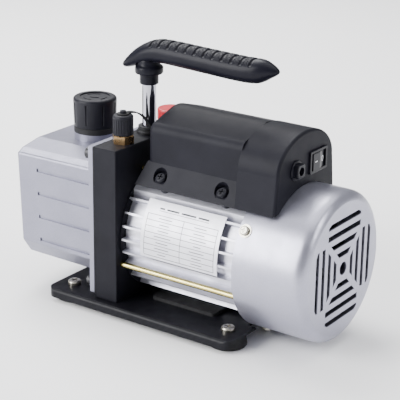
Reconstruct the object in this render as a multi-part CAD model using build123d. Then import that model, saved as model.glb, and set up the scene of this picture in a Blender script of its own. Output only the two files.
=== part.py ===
from build123d import *
import os
from math import cos, radians, sin

# Single-stage rotary vane vacuum pump. Millimetres, +Z up, +X from the oil reservoir to the motor's
# fan end. The origin is on the floor, midway between the drain plug's head and the fan cowl's end.

# ---- driving dimensions ----
FIT = 0.05              # radial clearance of a shaft in its hole
AXIS_Z = 57.3           # height of the shaft axis

PLATE_X0, PLATE_X1 = -86.0, 73.5
PLATE_W = 115.0
PLATE_TOP = 10.0
SHEET = 2.0
LIP_BOTTOM = 3.2
FOOT_X = (-73.5, 61.0)
FOOT_Y = 41.0
FOOT_D = 27.0

BODY_X0 = -46.0         # face towards the reservoir
BODY_X1 = -26.8         # face towards the motor
BODY_XM = (BODY_X0 + BODY_X1) / 2
BODY_W = 102.5
BODY_TOP = 122.2

RES_X0 = -119.0         # closed end of the reservoir, at the height END_Z
END_Z, END_LEAN = 36.0, 2.4    # the end leans outwards towards its top, in degrees
GASKET = 0.8
FLANGE_T = 3.8
FLANGE_BOTTOM = 12.9
RES_WALL = 4.0
ROOF_Z = 110.0
RES_FLOOR = 25.5
FILL_X = -85.5
FILL_TOP = 114.8        # top of the filler boss
FILL_BORE = 10.0
CAP_R = 15.9

INLET_Y, PORT_Y = -30.0, 26.5
POST_R = 5.0

PILOT_T = 1.2
HOUSING_X0 = BODY_X1 + PILOT_T
HOUSING_X1 = 71.0
FIN_R, ROOT_R, CORE_R = 46.5, 41.6, 38.0
FIN_T = 1.5
FIN_ANGLES = (37.5, 24.0, 12.0, 0.0, -12.0, -24.0, -40.0, -58.0)
ROD_R, ROD_D, ROD_FIRST = 49.0, 4.0, -23.0

COWL_X0, COWL_X1 = 70.0, 124.4
COWL_R, COWL_T = 52.6, 1.2
COWL_FACE_R, COWL_SHOULDER = 46.2, 13.5

BOX_X0, SEAM_X, BOX_X1 = -14.0, 62.3, 93.3
BOX_W = 77.2
BOX_BOTTOM, BOX_WALL = 97.2, 2.4
ROOF_FALL, COVER_RIDGE = 0.30, 148.5         # the cover's roof: fall per mm, and where its slopes would meet
HOUSING_HALF, HOUSING_SPRING, HOUSING_RISE = 35.6, 123.1, 24.0      # the switch housing's elliptical arch
LEDGE_Z, LEDGE_W = 113.3, 62.8

PUMP_BORE_R, PUMP_OFFSET, PUMP_ROTOR_R = 20.0, 3.0, 16.9
CYL_L = 26.0
COVER_T = 6.0
VANE_T, VANE_H = 3.6, 10.0

UPRIGHT = (Align.CENTER, Align.CENTER, Align.MIN)

os.makedirs("parts", exist_ok=True)


def save(name, shape):
    """Write one sub-part, and say how many solids it has."""
    solids = shape.solids()
    export_step(Compound(children=list(solids)) if len(solids) > 1 else solids[0], f"parts/{name}.step")
    print(name, len(solids))


def block(x0, x1, y0, y1, z0, z1):
    """A box given by its limits."""
    middle = Pos((x0 + x1) / 2, (y0 + y1) / 2, (z0 + z1) / 2)
    return middle * Box(abs(x1 - x0), abs(y1 - y0), abs(z1 - z0))


def rod_x(x0, x1, radius, y=0.0, z=AXIS_Z):
    """A cylinder along X."""
    return Pos((x0 + x1) / 2, y, z) * Rot(0, 90, 0) * Cylinder(radius, abs(x1 - x0))


def rod_z(z0, z1, radius, x=0.0, y=0.0):
    """A cylinder along Z."""
    return Pos(x, y, (z0 + z1) / 2) * Cylinder(radius, z1 - z0)


def ring_x(x0, x1, outer, inner, y=0.0, z=AXIS_Z):
    """A round ring along X."""
    return rod_x(x0, x1, outer, y, z) - rod_x(x0 - 1, x1 + 1, inner, y, z)


def drilled(start, end, radius):
    """A round bar between two points, for slanted drillings."""
    a, b = Vector(*start), Vector(*end)
    along = b - a
    return Plane(origin=(a + b) / 2, z_dir=along) * Cylinder(radius, along.length)


def hex_z(z0, z1, across, x, y, turn=0.0):
    """A hexagonal prism along Z, given across its flats."""
    outline = RegularPolygon(across / 2, 6, major_radius=False)
    return Pos(x, y, z0) * Rot(0, 0, turn) * extrude(outline, z1 - z0)


def hex_x(x0, x1, across, y, z):
    """A hexagonal prism along X, given across its flats."""
    outline = RegularPolygon(across / 2, 6, major_radius=False)
    return Pos(x0, y, z) * Rot(0, 90, 0) * extrude(outline, x1 - x0)


def all_of(shapes):
    """Union of a list of shapes."""
    shapes = list(shapes)
    out = shapes[0]
    for shape in shapes[1:]:
        out = out + shape
    return out


def at_angle(radius, angle):
    """Y and Z of a point round the shaft axis; 0 degrees is the -Y side, 90 is the top."""
    return -radius * cos(radians(angle)), AXIS_Z + radius * sin(radians(angle))


def radial(x, outer, inner, angle, radius):
    """A bar that points at the shaft axis."""
    return drilled((x, *at_angle(outer, angle)), (x, *at_angle(inner, angle)), radius)


def pan_head(radius, height):
    """A pan head standing on Z=0 with a cross recess."""
    head = Cylinder(radius, height, align=UPRIGHT)
    head = fillet(head.faces().sort_by(Axis.Z)[-1].edges(), height * 0.45)
    depth = height * 0.5
    arm = Pos(0, 0, height - depth / 2) * Box(radius * 1.1, radius * 0.22, depth)
    return head - arm - Rot(0, 0, 90) * arm


def cap_head(radius, height, socket):
    """A socket-head cap screw's head standing on Z=0."""
    head = Cylinder(radius, height, align=UPRIGHT)
    head = chamfer(head.faces().sort_by(Axis.Z)[-1].edges(), 0.5)
    well = Pos(0, 0, height * 0.4) * extrude(RegularPolygon(socket / 2, 6, major_radius=False), height)
    return head - well


# ---- places shared by several pieces ----
ROD_SPOTS = [at_angle(ROD_R, ROD_FIRST + 90 * k) for k in range(4)]
FLANGE_SCREWS = [(side * 45.5, z) for side in (-1, 1) for z in (19.5, 115.2)]
FEET = [(x, side * FOOT_Y) for x in FOOT_X for side in (-1, 1)]
BODY_BOLTS = [(BODY_XM, side * 36.0) for side in (-1, 1)]
PUMP_X1 = BODY_X0                      # the pump cylinder stands on the body's face
PUMP_X0 = PUMP_X1 - CYL_L
PUMP_Z = AXIS_Z - PUMP_OFFSET          # the bore's centre is below the shaft axis
PUMP_LOW, PUMP_HIGH = 30.8, 93.0
PUMP_SCREWS = [(y, z) for y in (-26.0, 26.0) for z in (PUMP_Z - 17.0, PUMP_Z + 22.0)]
INTAKE_Z = 84.0
SIGHT_Z, DRAIN_Z = 68.0, 37.5
DRAIN_X = RES_X0 - 0.4
BEZEL_SCREWS = [(16.0 * cos(radians(a)), SIGHT_Z + 16.0 * sin(radians(a))) for a in (90, 210, 330)]
COWL_SCREW_X = 75.0
COWL_SCREW_ANGLES = (33.0, 147.0, -75.0)
COVER_SCREW_X = (-0.8, 49.6)
COVER_SCREW_ANGLES = (54.0, 126.0)
COVER_SEAT = 57.0       # distance of the cover screws' seats from the shaft axis


# ---- base ----
def base_plate():
    half = PLATE_W / 2
    length = PLATE_X1 - PLATE_X0
    centre = (PLATE_X0 + PLATE_X1) / 2
    sheet = block(PLATE_X0, PLATE_X1, -half, half, LIP_BOTTOM, PLATE_TOP)
    long_edges = [e for e in sheet.edges().filter_by(Axis.X) if e.center().Z > PLATE_TOP - 1]
    sheet = fillet(long_edges, 2.6)
    hollow = block(PLATE_X0 - 1, PLATE_X1 + 1, -half + SHEET, half - SHEET, 0, PLATE_TOP - SHEET)
    outline = Pos(centre, 0, 0) * extrude(RectangleRounded(length, PLATE_W, 7), PLATE_TOP + 1)
    sheet = (sheet - hollow) & outline
    for x, y in FEET:
        sheet -= rod_z(0, 20, 2.7, x, y)
    for x, y in BODY_BOLTS:
        sheet -= rod_z(0, 20, 3.3, x, y)
    sheet -= rod_z(0, 20, 2.7, 15, 0)
    return sheet - rod_x(COWL_X0 - 2.5, PLATE_X1 + 1, COWL_R + 1.8)


def rubber_feet():
    foot = Cone(FOOT_D / 2, FOOT_D / 2 - 1.5, 7.9, align=UPRIGHT)
    foot = fillet(foot.faces().sort_by(Axis.Z)[0].edges(), 1.2)
    foot -= rod_z(-1, 2.0, 6.0)
    foot -= rod_z(-1, 20, 2.5 + FIT)
    return Compound(children=[Pos(x, y, 0) * foot for x, y in FEET])


def foot_screws():
    screw = Pos(0, 0, PLATE_TOP) * pan_head(4.8, 3.0) + rod_z(2.4, PLATE_TOP, 2.5)
    return Compound(children=[Pos(x, y, 0) * screw for x, y in FEET])


def body_bolts():
    head = Pos(0, 0, PLATE_TOP - SHEET) * Rot(180, 0, 0) * cap_head(5.0, 4.4, 5.0)
    bolt = head + rod_z(PLATE_TOP - SHEET, 27.0, 3.0)
    return Compound(children=[Pos(x, y, 0) * bolt for x, y in BODY_BOLTS])


# ---- pump body ----
def pump_body():
    half = BODY_W / 2
    body = block(BODY_X0, BODY_X1, -half, half, PLATE_TOP, BODY_TOP)
    body = chamfer(body.edges(), 0.5)
    body += rod_x(BODY_X1 - 1, HOUSING_X0, FIN_R + 0.4)
    body -= rod_x(-40.3, HOUSING_X0 + 1, 17.5)
    body -= rod_x(-42.3, -40.2, 9.0)
    body -= rod_x(BODY_X0 - 1, -42.2, 13.0)
    for x, y in BODY_BOLTS:
        body -= rod_z(PLATE_TOP - 1, 29, 3.0 + FIT, x, y)
    for y, z in FLANGE_SCREWS:
        body -= rod_x(BODY_X0 - 1, BODY_X0 + 13, 2.5 + FIT, y, z)
    for y, z in ROD_SPOTS:
        body -= rod_x(BODY_X1 - 6, HOUSING_X0 + 1, ROD_D / 2 + FIT, y, z)
    for y, z in PUMP_SCREWS:
        body -= rod_x(BODY_X0 - 1, BODY_X0 + 9, 2.5 + FIT, y, z)
    body -= rod_z(110.0, BODY_TOP + 1, 4.9, BODY_XM, INLET_Y)
    body -= rod_z(INTAKE_Z, 111, 3.5, BODY_XM, INLET_Y)
    body -= rod_z(110.0, BODY_TOP + 1, 6.2, BODY_XM, PORT_Y)
    body -= rod_z(96.0, 111, 3.5, BODY_XM, PORT_Y)
    body -= drilled((BODY_XM, INLET_Y, 98.0), (BODY_XM, PORT_Y, 98.0), 3.0)
    body -= rod_x(BODY_X0 - 1, BODY_XM, 3.5, INLET_Y + 6, INTAKE_Z)
    body -= drilled((BODY_XM, INLET_Y, INTAKE_Z), (BODY_XM, INLET_Y + 6, INTAKE_Z), 3.4)
    return body - rod_z(104.0, BODY_TOP + 1, 4.0 + FIT, BODY_XM, 0)


def shaft_seal():
    seal = ring_x(BODY_X0 + 0.2, -42.4, 13.0, 7.6)
    return seal - ring_x(BODY_X0 + 1.6, -42.2, 11.4, 9.2)


# ---- intake ports and their caps ----
def inlet_fitting():
    hexagon = hex_z(BODY_TOP, 128.0, 14.0, BODY_XM, INLET_Y, 15)
    hexagon = chamfer(hexagon.edges().filter_by(GeomType.LINE).group_by(Axis.Z)[-1], 0.5)
    thread = rod_z(128.0, 136.5, 5.55, BODY_XM, INLET_Y)
    nose = Pos(BODY_XM, INLET_Y, 136.5) * Cone(5.55, 3.4, 2.2, align=UPRIGHT)
    tail = rod_z(111.5, BODY_TOP, 4.85, BODY_XM, INLET_Y)
    return hexagon + thread + nose + tail - rod_z(100, 145, 2.6, BODY_XM, INLET_Y)


def intake_screen():
    cup = rod_z(106.0, 111.3, 3.4, BODY_XM, INLET_Y) - rod_z(106.6, 112, 2.8, BODY_XM, INLET_Y)
    for k in range(8):
        hole = Rot(0, 0, 45 * k) * block(1, 6, -0.5, 0.5, 107.4, 110.4)
        cup -= Pos(BODY_XM, INLET_Y, 0) * hole
    return cup


def inlet_cap():
    cap = rod_z(128.4, 142.2, 7.2)
    cap = fillet(cap.faces().sort_by(Axis.Z)[-1].edges(), 1.6)
    cap -= rod_z(128, 139.0, 5.55 + 0.35)
    for k in range(24):
        cap -= Rot(0, 0, 15 * k) * rod_z(129.4, 139.6, 0.45, 7.3, 0)
    cap += rod_z(142.0, 143.4, 1.3) + rod_z(143.3, 145.0, 2.2)
    return Pos(BODY_XM, INLET_Y, 0) * cap


STRAP_TURN = -14.0       # the strap runs to the +X side of the post


def inlet_cap_tether():
    """Rubber strap from the cap's nub to a ring round the handle post."""
    eye = rod_z(142.3, 143.2, 4.2, BODY_XM, INLET_Y) - rod_z(142, 144, 1.6, BODY_XM, INLET_Y)
    ring = rod_z(124.8, 127.4, 7.8, BODY_XM, 0) - rod_z(124, 132, POST_R + 0.35, BODY_XM, 0)
    path = Spline((3.4, 142.75), (9.5, 142.2), (16.0, 139.0), (22.2, 132.0), (25.2, 126.2))
    strap = extrude(Plane.YZ * trace(path, 1.0), 1.8, both=True)
    strap = Pos(BODY_XM, INLET_Y, 0) * Rot(0, 0, STRAP_TURN) * strap
    strap -= rod_z(120, 150, POST_R + 0.35, BODY_XM, 0)
    return eye + ring + strap


def port_fitting():
    hexagon = hex_z(BODY_TOP, 126.2, 17.0, BODY_XM, PORT_Y, 15)
    thread = rod_z(126.2, 131.4, 7.9, BODY_XM, PORT_Y)
    tail = rod_z(111.5, BODY_TOP, 6.15, BODY_XM, PORT_Y)
    return hexagon + thread + tail - rod_z(100, 145, 4.2, BODY_XM, PORT_Y)


def port_cap():
    cap = rod_z(126.5, 134.2, 10.0)
    cap = fillet(cap.faces().sort_by(Axis.Z)[-1].edges(), 1.2)
    cap -= rod_z(126, 132.0, 7.9 + 0.35)
    for k in range(20):
        cap -= Rot(0, 0, 18 * k) * rod_z(126, 132.6, 0.55, 10.2, 0)
    return Pos(BODY_XM, PORT_Y, 0) * cap


# ---- handle ----
# stations of the grip along X: offset from the post, centre height, half height, half width
GRIP = (
    (-20.0, 169.8, 0.7, 3.6),
    (-18.1, 170.7, 3.4, 6.5),
    (-14.6, 172.9, 4.9, 8.0),
    (-9.6, 175.9, 6.4, 9.0),
    (-1.6, 179.7, 7.6, 10.0),
    (6.4, 182.2, 8.2, 10.0),
    (15.4, 182.9, 8.5, 10.0),
    (24.0, 182.7, 8.6, 10.0),
    (37.0, 182.1, 8.6, 10.0),
    (50.4, 181.6, 8.7, 10.0),
    (66.0, 181.0, 8.8, 10.0),
    (78.0, 180.6, 8.8, 9.9),
    (90.4, 181.0, 8.5, 9.0),
    (95.8, 181.8, 7.2, 7.5),
    (101.1, 182.5, 4.6, 5.0),
    (106.7, 182.4, 0.6, 0.9),
)


def handle_post():
    post = rod_z(124.7, 177.0, POST_R) + rod_z(105.0, 124.7, 4.0)
    return Pos(BODY_XM, 0, 0) * post


def post_nut():
    nut = rod_z(BODY_TOP, 124.6, 9.0)
    nut = chamfer(nut.faces().sort_by(Axis.Z)[-1].edges(), 0.8)
    return Pos(BODY_XM, 0, 0) * (nut - rod_z(120, 130, 4.0 + FIT))


def handle_ferrule():
    ferrule = rod_z(157.8, 165.2, 6.7)
    ferrule = fillet(ferrule.faces().sort_by(Axis.Z)[0].edges(), 1.0)
    return Pos(BODY_XM, 0, 0) * (ferrule - rod_z(150, 170, POST_R + FIT))


def handle_grip():
    sections = []
    for offset, middle, half_h, half_w in GRIP:
        plane = Plane(origin=(BODY_XM + offset, 0, middle), x_dir=(0, 1, 0), z_dir=(1, 0, 0))
        sections.append(plane * Ellipse(half_w, half_h))
    grip = loft(sections)
    collar = rod_z(165.3, 171.0, 10.0, BODY_XM, 0)
    collar = fillet(collar.edges().filter_by(GeomType.CIRCLE), 1.1)
    neck = rod_z(170.0, 178.0, 7.6, BODY_XM, 0)
    return grip + collar + neck - rod_z(160, 177.2, POST_R + FIT, BODY_XM, 0)


# ---- oil reservoir ----
def reservoir_section(x, narrow, wall):
    """Cross-section of the casting at x: narrow is the draft there, wall the inset."""
    side, low, high = 47.5 - narrow - wall, RES_FLOOR + wall, ROOF_Z - wall - 0.8 * narrow
    half = [(0, high), (24.0 - narrow - wall * 0.4, high), (side - 6.0, high - 3.2 - wall * 0.2),
            (side, high - 6.2), (side, 36.0 + wall * 0.6), (side - 7.0, low), (0, low)]
    points = half + [(-y, z) for y, z in reversed(half[1:-1])]
    plane = Plane(origin=(x, 0, 0), x_dir=(0, 1, 0), z_dir=(1, 0, 0))
    return plane * make_face(Polyline(*points, close=True))


def leaned(shape):
    """Move a shape from a vertical end face onto the leaning one."""
    return Pos(RES_X0, 0, END_Z) * Rot(0, -END_LEAN, 0) * Pos(-RES_X0, 0, -END_Z) * shape


def oil_reservoir():
    flange_x = BODY_X0 - GASKET
    ends = [reservoir_section(RES_X0 - 6, 1.6, 0), reservoir_section(flange_x - FLANGE_T, 0, 0)]
    shell = loft(ends, ruled=True) - leaned(block(RES_X0 - 30, RES_X0, -60, 60, 0, 140))
    long_edges = [e for e in shell.edges() if e.length > 60 and e.center().Z > 30]
    end_edges = [e for e in shell.edges() if e.center().X < RES_X0 + 1]
    shell = fillet(long_edges + end_edges, 2.4)
    half = BODY_W / 2
    flange = block(flange_x - FLANGE_T, flange_x, -half, half, FLANGE_BOTTOM, BODY_TOP)
    flange = chamfer(flange.edges().filter_by(Axis.X), 0.8)
    shell += flange
    shell += rod_z(ROOF_Z - 3, FILL_TOP, CAP_R - 0.6, FILL_X, 0)
    shell += rod_x(DRAIN_X, RES_X0 + 3, 8.5, 0, DRAIN_Z)
    shell -= loft([reservoir_section(RES_X0 + RES_WALL, 1.5, RES_WALL),
                   reservoir_section(flange_x + 1, 0, RES_WALL)], ruled=True)
    shell -= rod_z(ROOF_Z - 10, FILL_TOP + 1, FILL_BORE, FILL_X, 0)
    for z in (92.7, 75.1, 57.6, 40.1):
        start = -100.8 - (z - 40.1) * 0.034
        for side in (-1, 1):
            shell -= block(start, flange_x - FLANGE_T, side * 45.4, side * 49, z - 1.3, z + 1.3)
    for y, z in FLANGE_SCREWS:
        shell -= rod_x(flange_x - 6, flange_x + 1, 2.7, y, z)
    shell -= leaned(rod_x(RES_X0 - 1, RES_X0 + 8, 10.0, 0, SIGHT_Z))
    shell -= rod_x(DRAIN_X - 1, RES_X0 + 8, 5.0 + FIT, 0, DRAIN_Z)
    for y, z in BEZEL_SCREWS:
        shell -= leaned(rod_x(RES_X0 - 1, RES_X0 + 3.4, 1.5 + FIT, y, z))
    return shell


def reservoir_gasket():
    half = BODY_W / 2 - 0.3
    sheet = block(BODY_X0 - GASKET, BODY_X0, -half, half, FLANGE_BOTTOM + 0.3, BODY_TOP - 0.3)
    sheet -= block(BODY_X0 - 2, BODY_X0 + 1, -43.0, 43.0, 30.3, 105.5)
    for y, z in FLANGE_SCREWS:
        sheet -= rod_x(BODY_X0 - 2, BODY_X0 + 1, 2.7, y, z)
    return sheet


def reservoir_screws():
    face_x = BODY_X0 - GASKET - FLANGE_T
    screws = []
    for y, z in FLANGE_SCREWS:
        head = Pos(face_x, y, z) * Rot(0, -90, 0) * cap_head(4.25, 5.0, 4.0)
        screws.append(head + rod_x(face_x, BODY_X0 + 12, 2.5, y, z))
    return Compound(children=screws)


def sight_glass():
    return leaned(rod_x(RES_X0, RES_X0 + 3.9, 9.9, 0, SIGHT_Z))


def sight_glass_bezel():
    bezel = ring_x(RES_X0 - 1.8, RES_X0, 19.5, 8.4, 0, SIGHT_Z)
    bezel = fillet(bezel.faces().sort_by(Axis.X)[0].edges(), 0.6)
    for y, z in BEZEL_SCREWS:
        bezel -= rod_x(RES_X0 - 3, RES_X0 + 1, 1.7, y, z)
    return leaned(bezel)


def bezel_screws():
    screws = []
    for y, z in BEZEL_SCREWS:
        head = Pos(RES_X0 - 1.8, y, z) * Rot(0, -90, 0) * pan_head(2.6, 1.1)
        screws.append(leaned(head + rod_x(RES_X0 - 1.8, RES_X0 + 3.2, 1.5, y, z)))
    return Compound(children=screws)


def drain_seal():
    return ring_x(DRAIN_X - 1.0, DRAIN_X - 0.05, 7.0, 5.0 + FIT, 0, DRAIN_Z)


def drain_plug():
    head = hex_x(DRAIN_X - 5.0, DRAIN_X - 1.0, 13.0, 0, DRAIN_Z)
    socket = Rot(0, 90, 0) * extrude(RegularPolygon(3, 6, major_radius=False), 3)
    head -= Pos(DRAIN_X - 5.1, 0, DRAIN_Z) * socket
    return head + rod_x(DRAIN_X - 1.0, DRAIN_X + 6.4, 5.0, 0, DRAIN_Z)


def oil_cap_seal():
    ring = ring_z(FILL_TOP + 0.02, FILL_TOP + 4.3, CAP_R - 0.4, 9.0 + FIT)
    rims = ring.edges().filter_by(GeomType.CIRCLE).group_by(Axis.Z)[-1]
    ring = chamfer([e for e in rims if e.length > 80], 0.5)
    return Pos(FILL_X, 0, 0) * ring


def ring_z(z0, z1, outer, inner):
    """A round ring along Z, on the Z axis."""
    return rod_z(z0, z1, outer) - rod_z(z0 - 1, z1 + 1, inner)


def oil_fill_cap():
    low, high = FILL_TOP + 4.5, 140.6
    cap = Pos(0, 0, low) * Cone(CAP_R - 0.5, CAP_R, high - low - 3, align=UPRIGHT)
    cap += rod_z(high - 3.0, high, CAP_R)
    cap = fillet(cap.faces().sort_by(Axis.Z)[-1].edges(), 2.2)
    cap -= rod_z(high - 0.8, high + 1, 11.0)
    for k in range(8):
        cap -= Rot(0, 0, 45 * k + 15) * rod_z(low + 2.5, high - 3.5, 1.0, CAP_R + 0.2, 0)
    stem = rod_z(FILL_TOP - 9.0, low + 0.1, 9.0)
    stem -= rod_z(FILL_TOP - 10, low - 2, 6.5)
    return Pos(FILL_X, 0, 0) * (cap + stem)


# ---- pump cylinder set, inside the reservoir ----
def pump_cylinder():
    cylinder = block(PUMP_X0, PUMP_X1, -34.0, 34.0, PUMP_LOW, PUMP_HIGH)
    cylinder = fillet(cylinder.edges().filter_by(Axis.X), 5.0)
    cylinder -= rod_x(PUMP_X0 - 1, PUMP_X1 - 5.0, PUMP_BORE_R, 0, PUMP_Z)
    cylinder -= rod_x(PUMP_X1 - 6, PUMP_X1 + 1, 8.0 + FIT)
    for y, z in PUMP_SCREWS:
        cylinder -= rod_x(PUMP_X0 - 1, PUMP_X1 + 1, 2.7, y, z)
    middle = (PUMP_X0 + PUMP_X1 - 5.0) / 2
    cylinder -= rod_x(middle, PUMP_X1 + 1, 3.5, INLET_Y + 6, INTAKE_Z)
    cylinder -= drilled((middle, INLET_Y + 6, INTAKE_Z), (middle, -12.0, 66.0), 3.0)
    return cylinder - drilled((middle, 20.0, 95.0), (middle, 10.0, 68.0), 3.0)


def pump_end_cover():
    cover = block(PUMP_X0 - COVER_T, PUMP_X0, -34.0, 34.0, PUMP_LOW, PUMP_HIGH)
    cover = fillet(cover.edges().filter_by(Axis.X), 5.0)
    cover -= rod_x(PUMP_X0 - 4.5, PUMP_X0 + 1, 7.0 + FIT)
    for y, z in PUMP_SCREWS:
        cover -= rod_x(PUMP_X0 - COVER_T - 1, PUMP_X0 + 1, 2.7, y, z)
    return cover


def pump_cover_screws():
    face_x = PUMP_X0 - COVER_T
    screws = []
    for y, z in PUMP_SCREWS:
        head = Pos(face_x, y, z) * Rot(0, -90, 0) * cap_head(4.25, 5.0, 4.0)
        screws.append(head + rod_x(face_x, BODY_X0 + 8, 2.5, y, z))
    return Compound(children=screws)


def pump_rotor():
    left, right = PUMP_X0 + 0.1, PUMP_X1 - 5.1
    rotor = rod_x(left, right, PUMP_ROTOR_R)
    rotor += rod_x(PUMP_X0 - 4.2, left, 7.0) + rod_x(right, BODY_X0 + 0.1, 8.0)
    slot = PUMP_ROTOR_R - VANE_H - 0.2
    for side in (-1, 1):
        y0, y1 = sorted((side * slot, side * (PUMP_ROTOR_R + 1)))
        half_slot = VANE_T / 2 + FIT
        rotor -= block(left - 0.01, right + 0.01, y0, y1, AXIS_Z - half_slot, AXIS_Z + half_slot)
    for x in SPRING_X:
        rotor -= Pos(x, 0, AXIS_Z) * Rot(90, 0, 0) * Cylinder(2.6, 2 * slot + 2)
    return rotor - block(BODY_X0 - 4.0, BODY_X0 + 1, -1.6, 1.6, AXIS_Z - 9, AXIS_Z + 9)


SPRING_X = (PUMP_X0 + 6.0, PUMP_X0 + 15.0)


def vane(side):
    left, right = PUMP_X0 + 0.15, PUMP_X1 - 5.15
    y0, y1 = sorted((side * (PUMP_ROTOR_R - VANE_H), side * PUMP_ROTOR_R))
    plate = block(left, right, y0, y1, AXIS_Z - VANE_T / 2, AXIS_Z + VANE_T / 2)
    tip = [e for e in plate.edges().filter_by(Axis.X) if abs(e.center().Y) > PUMP_ROTOR_R - 0.1]
    return fillet(tip, 1.2)


def vane_springs():
    reach = PUMP_ROTOR_R - VANE_H - 0.6
    springs = []
    for x in SPRING_X:
        coil = Helix(pitch=2.0, height=2 * reach, radius=1.9)
        start = Plane(origin=coil @ 0, z_dir=coil % 0)
        wire = sweep(start * Circle(0.3), path=coil)
        springs.append(Pos(x, reach, AXIS_Z) * Rot(90, 0, 0) * wire)
    return Compound(children=springs)


EXHAUST = (PUMP_X0 + PUMP_X1 - 5.0) / 2, 19.25


def reed_valve():
    x, y = EXHAUST
    return block(x - 4.0, x + 4.0, y - 5.0, y + 8.7, PUMP_HIGH + 0.05, PUMP_HIGH + 0.45)


def valve_stop():
    x, y = EXHAUST
    low = PUMP_HIGH
    side = Polyline((y + 13, low), (y + 8.9, low), (y + 8.9, low + 0.9), (y - 4.5, low + 3.0),
                    (y - 4.5, low + 4.2), (y + 8.9, low + 2.1), (y + 13, low + 2.1), close=True)
    stop = Pos(x - 4, 0, 0) * extrude(Plane.YZ * make_face(side), 8.0)
    return stop + rod_z(low + 2.0, low + 3.8, 1.9, x, y + 11.0)


# ---- motor ----
def motor_housing():
    shell = rod_x(HOUSING_X0, HOUSING_X1, ROOT_R)
    length = HOUSING_X1 - HOUSING_X0
    middle = (HOUSING_X0 + HOUSING_X1) / 2
    blank = rod_x(HOUSING_X0, HOUSING_X1, FIN_R)
    fins = []
    for angle in FIN_ANGLES:
        for turn in (angle, 180 - angle):
            y, z = at_angle((ROOT_R + FIN_R) / 2, turn)
            fins.append(Pos(middle, y, z) * Rot(-turn, 0, 0) * Box(length, FIN_R - ROOT_R + 4, FIN_T))
    crown_y = FIN_R * cos(radians(46))
    crown = block(HOUSING_X0, HOUSING_X1, -crown_y, crown_y, AXIS_Z + 20, AXIS_Z + 60)
    keel_y = FIN_R * cos(radians(72))
    keel = block(HOUSING_X0, HOUSING_X1, -keel_y, keel_y, AXIS_Z - 60, AXIS_Z - 20)
    shell = shell + (all_of(fins + [crown, keel]) & blank)
    shell -= rod_x(HOUSING_X0 - 1, HOUSING_X1 + 1, CORE_R)
    for y, z in ROD_SPOTS:
        shell -= rod_x(HOUSING_X0 - 1, HOUSING_X1 + 1, ROD_D / 2 + 0.4, y, z)
    for x in COVER_SCREW_X:
        for angle in COVER_SCREW_ANGLES:
            shell -= radial(x, FIN_R + 2, 41.0, angle, 2.0 + FIT)
    return shell - rod_z(PLATE_TOP - 5, PLATE_TOP + 8, 2.5 + FIT, 15, 0)


def motor_cradle():
    pad = block(-12.0, 42.0, -30.0, 16.0, PLATE_TOP, PLATE_TOP + 2.6)
    pad = fillet(pad.edges().filter_by(Axis.Z), 3.0)
    return pad - rod_x(-20, 50, FIN_R + 0.02) - rod_z(0, 30, 2.7, 15, 0)


def cradle_screw():
    head = Pos(15, 0, PLATE_TOP - SHEET) * Rot(180, 0, 0) * pan_head(4.5, 2.8)
    return head + rod_z(PLATE_TOP - SHEET, PLATE_TOP + 7.5, 2.5, 15, 0)


BEARINGS = {"front": (-40.2, -29.2), "rear": (74.0, 85.0)}
SHAFT_BEARING_R = 7.5


def bearing_outer(end):
    x0, x1 = BEARINGS[end]
    middle = (x0 + x1) / 2
    outer = ring_x(x0, x1, 17.5, 14.8)
    outer -= torus_x(middle, 12.5, 3.05)
    parts = [outer]
    for k in range(8):
        y, z = at_angle(12.5, 45 * k)
        parts.append(Pos(middle, y, z) * Sphere(2.9))
    return Compound(children=[p for s in parts for p in s.solids()])


def bearing_inner(end):
    x0, x1 = BEARINGS[end]
    inner = ring_x(x0, x1, 10.2, SHAFT_BEARING_R)
    return inner - torus_x((x0 + x1) / 2, 12.5, 3.05)


def torus_x(x, major, minor):
    return Pos(x, 0, AXIS_Z) * Rot(0, 90, 0) * Torus(major, minor)


def rear_end_shield():
    shield = rod_x(HOUSING_X1, HOUSING_X1 + 8.0, COWL_R - COWL_T - 0.2)
    shield += rod_x(HOUSING_X1, 87.0, 21.5)
    shield -= rod_x(HOUSING_X1 - 1, 74.0, CORE_R - 2.0)
    shield -= rod_x(73.0, 85.0, 17.5)
    shield -= rod_x(80.0, 90.0, 9.0)
    shield -= ring_x(76.5, 80.0, 46.0, 21.5)
    for k in range(8):
        y, z = at_angle(29.0, 45 * k)
        shield -= rod_x(70.0, 90.0, 5.4, y, z)
    for k, (y, z) in enumerate(ROD_SPOTS):
        shield -= rod_x(70.0, 90.0, ROD_D / 2 + FIT, y, z)
        shield -= radial_slot(ROD_FIRST + 90 * k)
    for angle in COWL_SCREW_ANGLES:
        shield -= radial(COWL_SCREW_X, COWL_R + 2, 44.0, angle, 1.5 + FIT)
    return shield


def radial_slot(angle):
    """Opens a tie rod's hole to the rim of the end shield."""
    y, z = at_angle(ROD_R + 1.5, angle)
    return Pos(HOUSING_X1 + 4, y, z) * Rot(-angle, 0, 0) * Box(20.0, 3.0, 2.4)


def stator_core():
    core = ring_x(-2.0, 48.0, CORE_R, 20.6)
    for k in range(16):
        y, z = at_angle(24.6, 22.5 * k)
        core -= rod_x(-3, 49, 3.3, y, z)
    return core


def stator_windings():
    ends = [ring_x(-17.0, -2.1, 31.0, 22.0), ring_x(48.1, 63.0, 31.0, 22.0)]
    ends = [fillet(e.edges().filter_by(GeomType.CIRCLE), 3.5) for e in ends]
    bars = []
    for k in range(16):
        y, z = at_angle(24.6, 22.5 * k)
        bars.append(rod_x(-2.2, 48.2, 2.9, y, z))
    return all_of(ends + bars)


def rotor_core():
    core = ring_x(-2.0, 48.0, 20.2, 8.0 + 0.02)
    core += ring_x(-7.0, -2.0, 19.0, 12.0) + ring_x(48.0, 53.0, 19.0, 12.0)
    for k in range(12):
        y, z = at_angle(15.5, 30 * k + 10)
        core += Pos(-9.0, y, z) * Box(4.5, 2.0, 5.0)
    return core


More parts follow.
